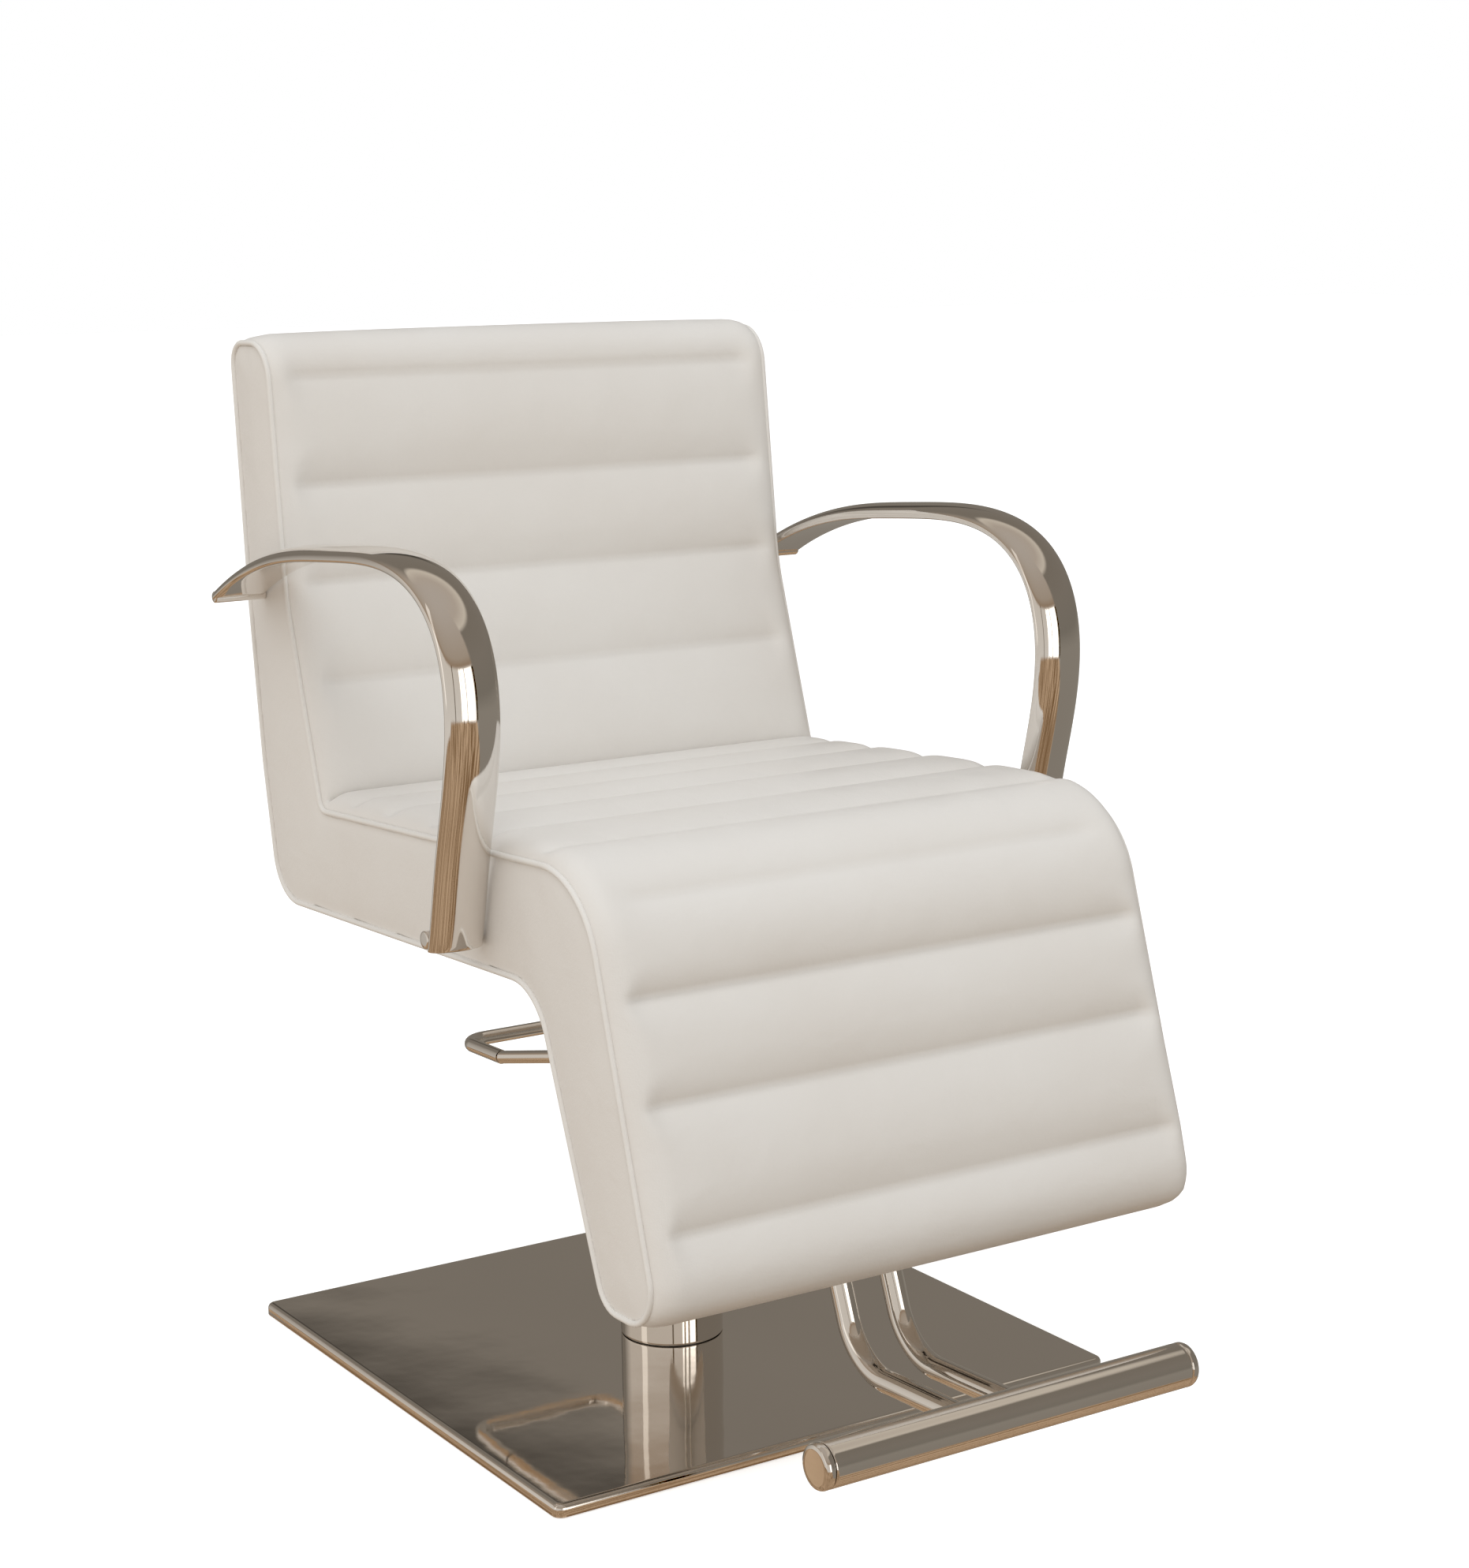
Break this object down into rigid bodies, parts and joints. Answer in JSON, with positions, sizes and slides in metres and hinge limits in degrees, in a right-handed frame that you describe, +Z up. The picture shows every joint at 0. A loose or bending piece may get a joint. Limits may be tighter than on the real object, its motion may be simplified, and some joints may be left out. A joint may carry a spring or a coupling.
{
  "type": "salon styling chair",
  "caption": "Upholstered S-shaped salon chair with leg rest, chrome arms and footrest, on a swivelling pump column and square base.",
  "frame": {"origin": "on the floor, under the centre of the square base plate and on the swivel axis", "axes": "+Z up along the column, -Y the way the sitter faces, +X the sitter's left"},
  "size_m": [0.6766, 0.9159, 0.986],
  "materials": {
    "cream_leatherette": "smooth cream leatherette with a fine grain",
    "covered_foam": "foam under a smooth cream leatherette cover",
    "polished_chrome": "mirror-polished chrome with a warm cast",
    "machined_steel": "machined steel",
    "black_enamel": "satin black enamel",
    "plywood": "bare plywood",
    "black_rubber": "matt black rubber"
  },
  "bodies": {
    "base": {"floor_pad": "black_rubber", "base_core": "black_enamel", "base_cover": "polished_chrome", "spindle": "machined_steel", "flange_bolt_1": "machined_steel", "flange_bolt_2": "machined_steel", "flange_bolt_3": "machined_steel", "flange_bolt_4": "machined_steel", "thrust_bearing": "machined_steel", "spindle_nut": "machined_steel"},
    "pump": {"column_sleeve": "polished_chrome", "swivel_hub": "machined_steel", "pump_cylinder": "machined_steel", "pump_head": "polished_chrome", "wiper_seal": "black_rubber", "pedal_bracket": "black_enamel", "pedal_pin": "machined_steel", "return_spring": "machined_steel"},
    "plunger": {"pump_plunger": "machined_steel"},
    "pedal": {"pedal_hub": "machined_steel", "pedal_arm_right": "polished_chrome", "pedal_arm_left": "polished_chrome", "pedal_loop": "polished_chrome"},
    "seat": {"piston_rod": "polished_chrome", "mounting_plate": "black_enamel", "plate_bolt_1": "machined_steel", "plate_bolt_2": "machined_steel", "plate_bolt_3": "machined_steel", "plate_bolt_4": "machined_steel", "cross_plate": "black_enamel", "frame_rail_right": "black_enamel", "frame_rail_left": "black_enamel", "back_board": "plywood", "seat_board": "plywood", "leg_board": "plywood", "head_roll": "covered_foam", "back_pad": "covered_foam", "seat_pad": "covered_foam", "leg_pad": "covered_foam", "toe_roll": "covered_foam", "back_shell": "covered_foam", "seat_shell": "covered_foam", "leg_shell": "covered_foam", "side_panel_right": "cream_leatherette", "side_panel_left": "cream_leatherette", "arm_right": "polished_chrome", "arm_left": "polished_chrome", "arm_boss_right_rear": "polished_chrome", "arm_boss_right_front": "polished_chrome", "arm_boss_left_rear": "polished_chrome", "arm_boss_left_front": "polished_chrome", "footrest_bracket": "black_enamel", "footrest_tube_right": "polished_chrome", "footrest_tube_left": "polished_chrome", "footrest_bar": "polished_chrome", "bar_cap_right": "polished_chrome", "bar_cap_left": "polished_chrome"}
  },
  "joints": [
    {"name": "seat_swivel", "type": "hinge", "parent": "base", "child": "pump", "pos_m": [0, 0, 0.028], "axis": [0, 0, 1], "continuous": true},
    {"name": "height_lift", "type": "slide", "parent": "pump", "child": "seat", "axis": [0, 0, 1], "range_m": [0, 0.15]},
    {"name": "pedal_press", "type": "hinge", "parent": "pump", "child": "pedal", "pos_m": [0.03, 0.07, 0.272], "axis": [-1, 0, 0], "range_deg": [0, 20], "stiffness_Nm_per_rad": 10, "springref_deg": -28.65, "deforming": ["return_spring"]},
    {"name": "plunger_stroke", "type": "slide", "parent": "pump", "child": "plunger", "axis": [0, 0, -1], "range_m": [0, 0.0064]}
  ],
  "couplings": [
    {"joint": "plunger_stroke", "follows": "pedal_press", "m_per_rad": 0.018}
  ]
}
